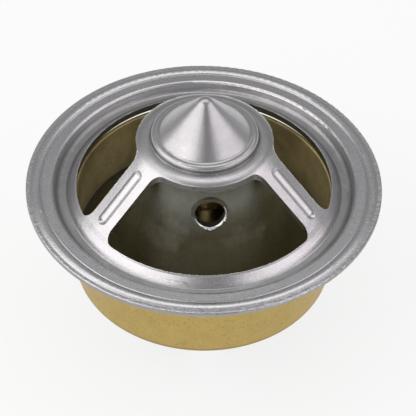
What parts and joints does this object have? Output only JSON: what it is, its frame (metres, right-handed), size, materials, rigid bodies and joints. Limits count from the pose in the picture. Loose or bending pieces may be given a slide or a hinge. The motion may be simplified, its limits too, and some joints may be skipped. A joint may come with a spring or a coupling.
{
  "type": "engine thermostat",
  "caption": "Round coolant valve: flat flange, legged frame with a pointed hub, fixed bell with a bleed hole, sliding brass sleeve, wax element, return spring and bridge.",
  "frame": {"origin": "on the centre axis, at the seating face under the flange rim", "axes": "+Z along the centre axis, out of the engine side towards the hub cone; +Y through one leg of the frame; -Y through the window that shows the bleed hole"},
  "size_m": [0.054, 0.054, 0.0437],
  "materials": {
    "pressed_steel": "satin pressed stainless steel",
    "bell_steel": "satin dark plated steel",
    "seal_rubber": "matte",
    "piston_steel": "ground",
    "spring_steel": "drawn wire",
    "sleeve_brass": "satin drawn brass",
    "cup_copper": "satin drawn copper",
    "guide_brass": "turned",
    "element_rubber": "matte",
    "disc_plastic": "matte",
    "element_wax": "waxy, filled with copper powder"
  },
  "bodies": {
    "frame": {"flange_frame": "pressed_steel", "deflector_bell": "bell_steel", "bell_seal": "seal_rubber", "lower_bridge": "pressed_steel", "piston": "piston_steel", "return_spring": "spring_steel"},
    "valve": {"valve_sleeve": "sleeve_brass", "sleeve_spider": "pressed_steel", "charge_cup": "cup_copper", "element_guide": "guide_brass", "diaphragm": "element_rubber", "plunger_plug": "element_rubber", "anti_extrusion_disc": "disc_plastic", "wax_charge": "element_wax"}
  },
  "joints": [
    {"name": "sleeve_slide", "type": "slide", "parent": "frame", "child": "valve", "axis": [0, 0, -1], "range_m": [0, 0.008], "stiffness_N_per_m": 4800, "springref_m": -0.0085, "deforming": ["return_spring"]}
  ]
}
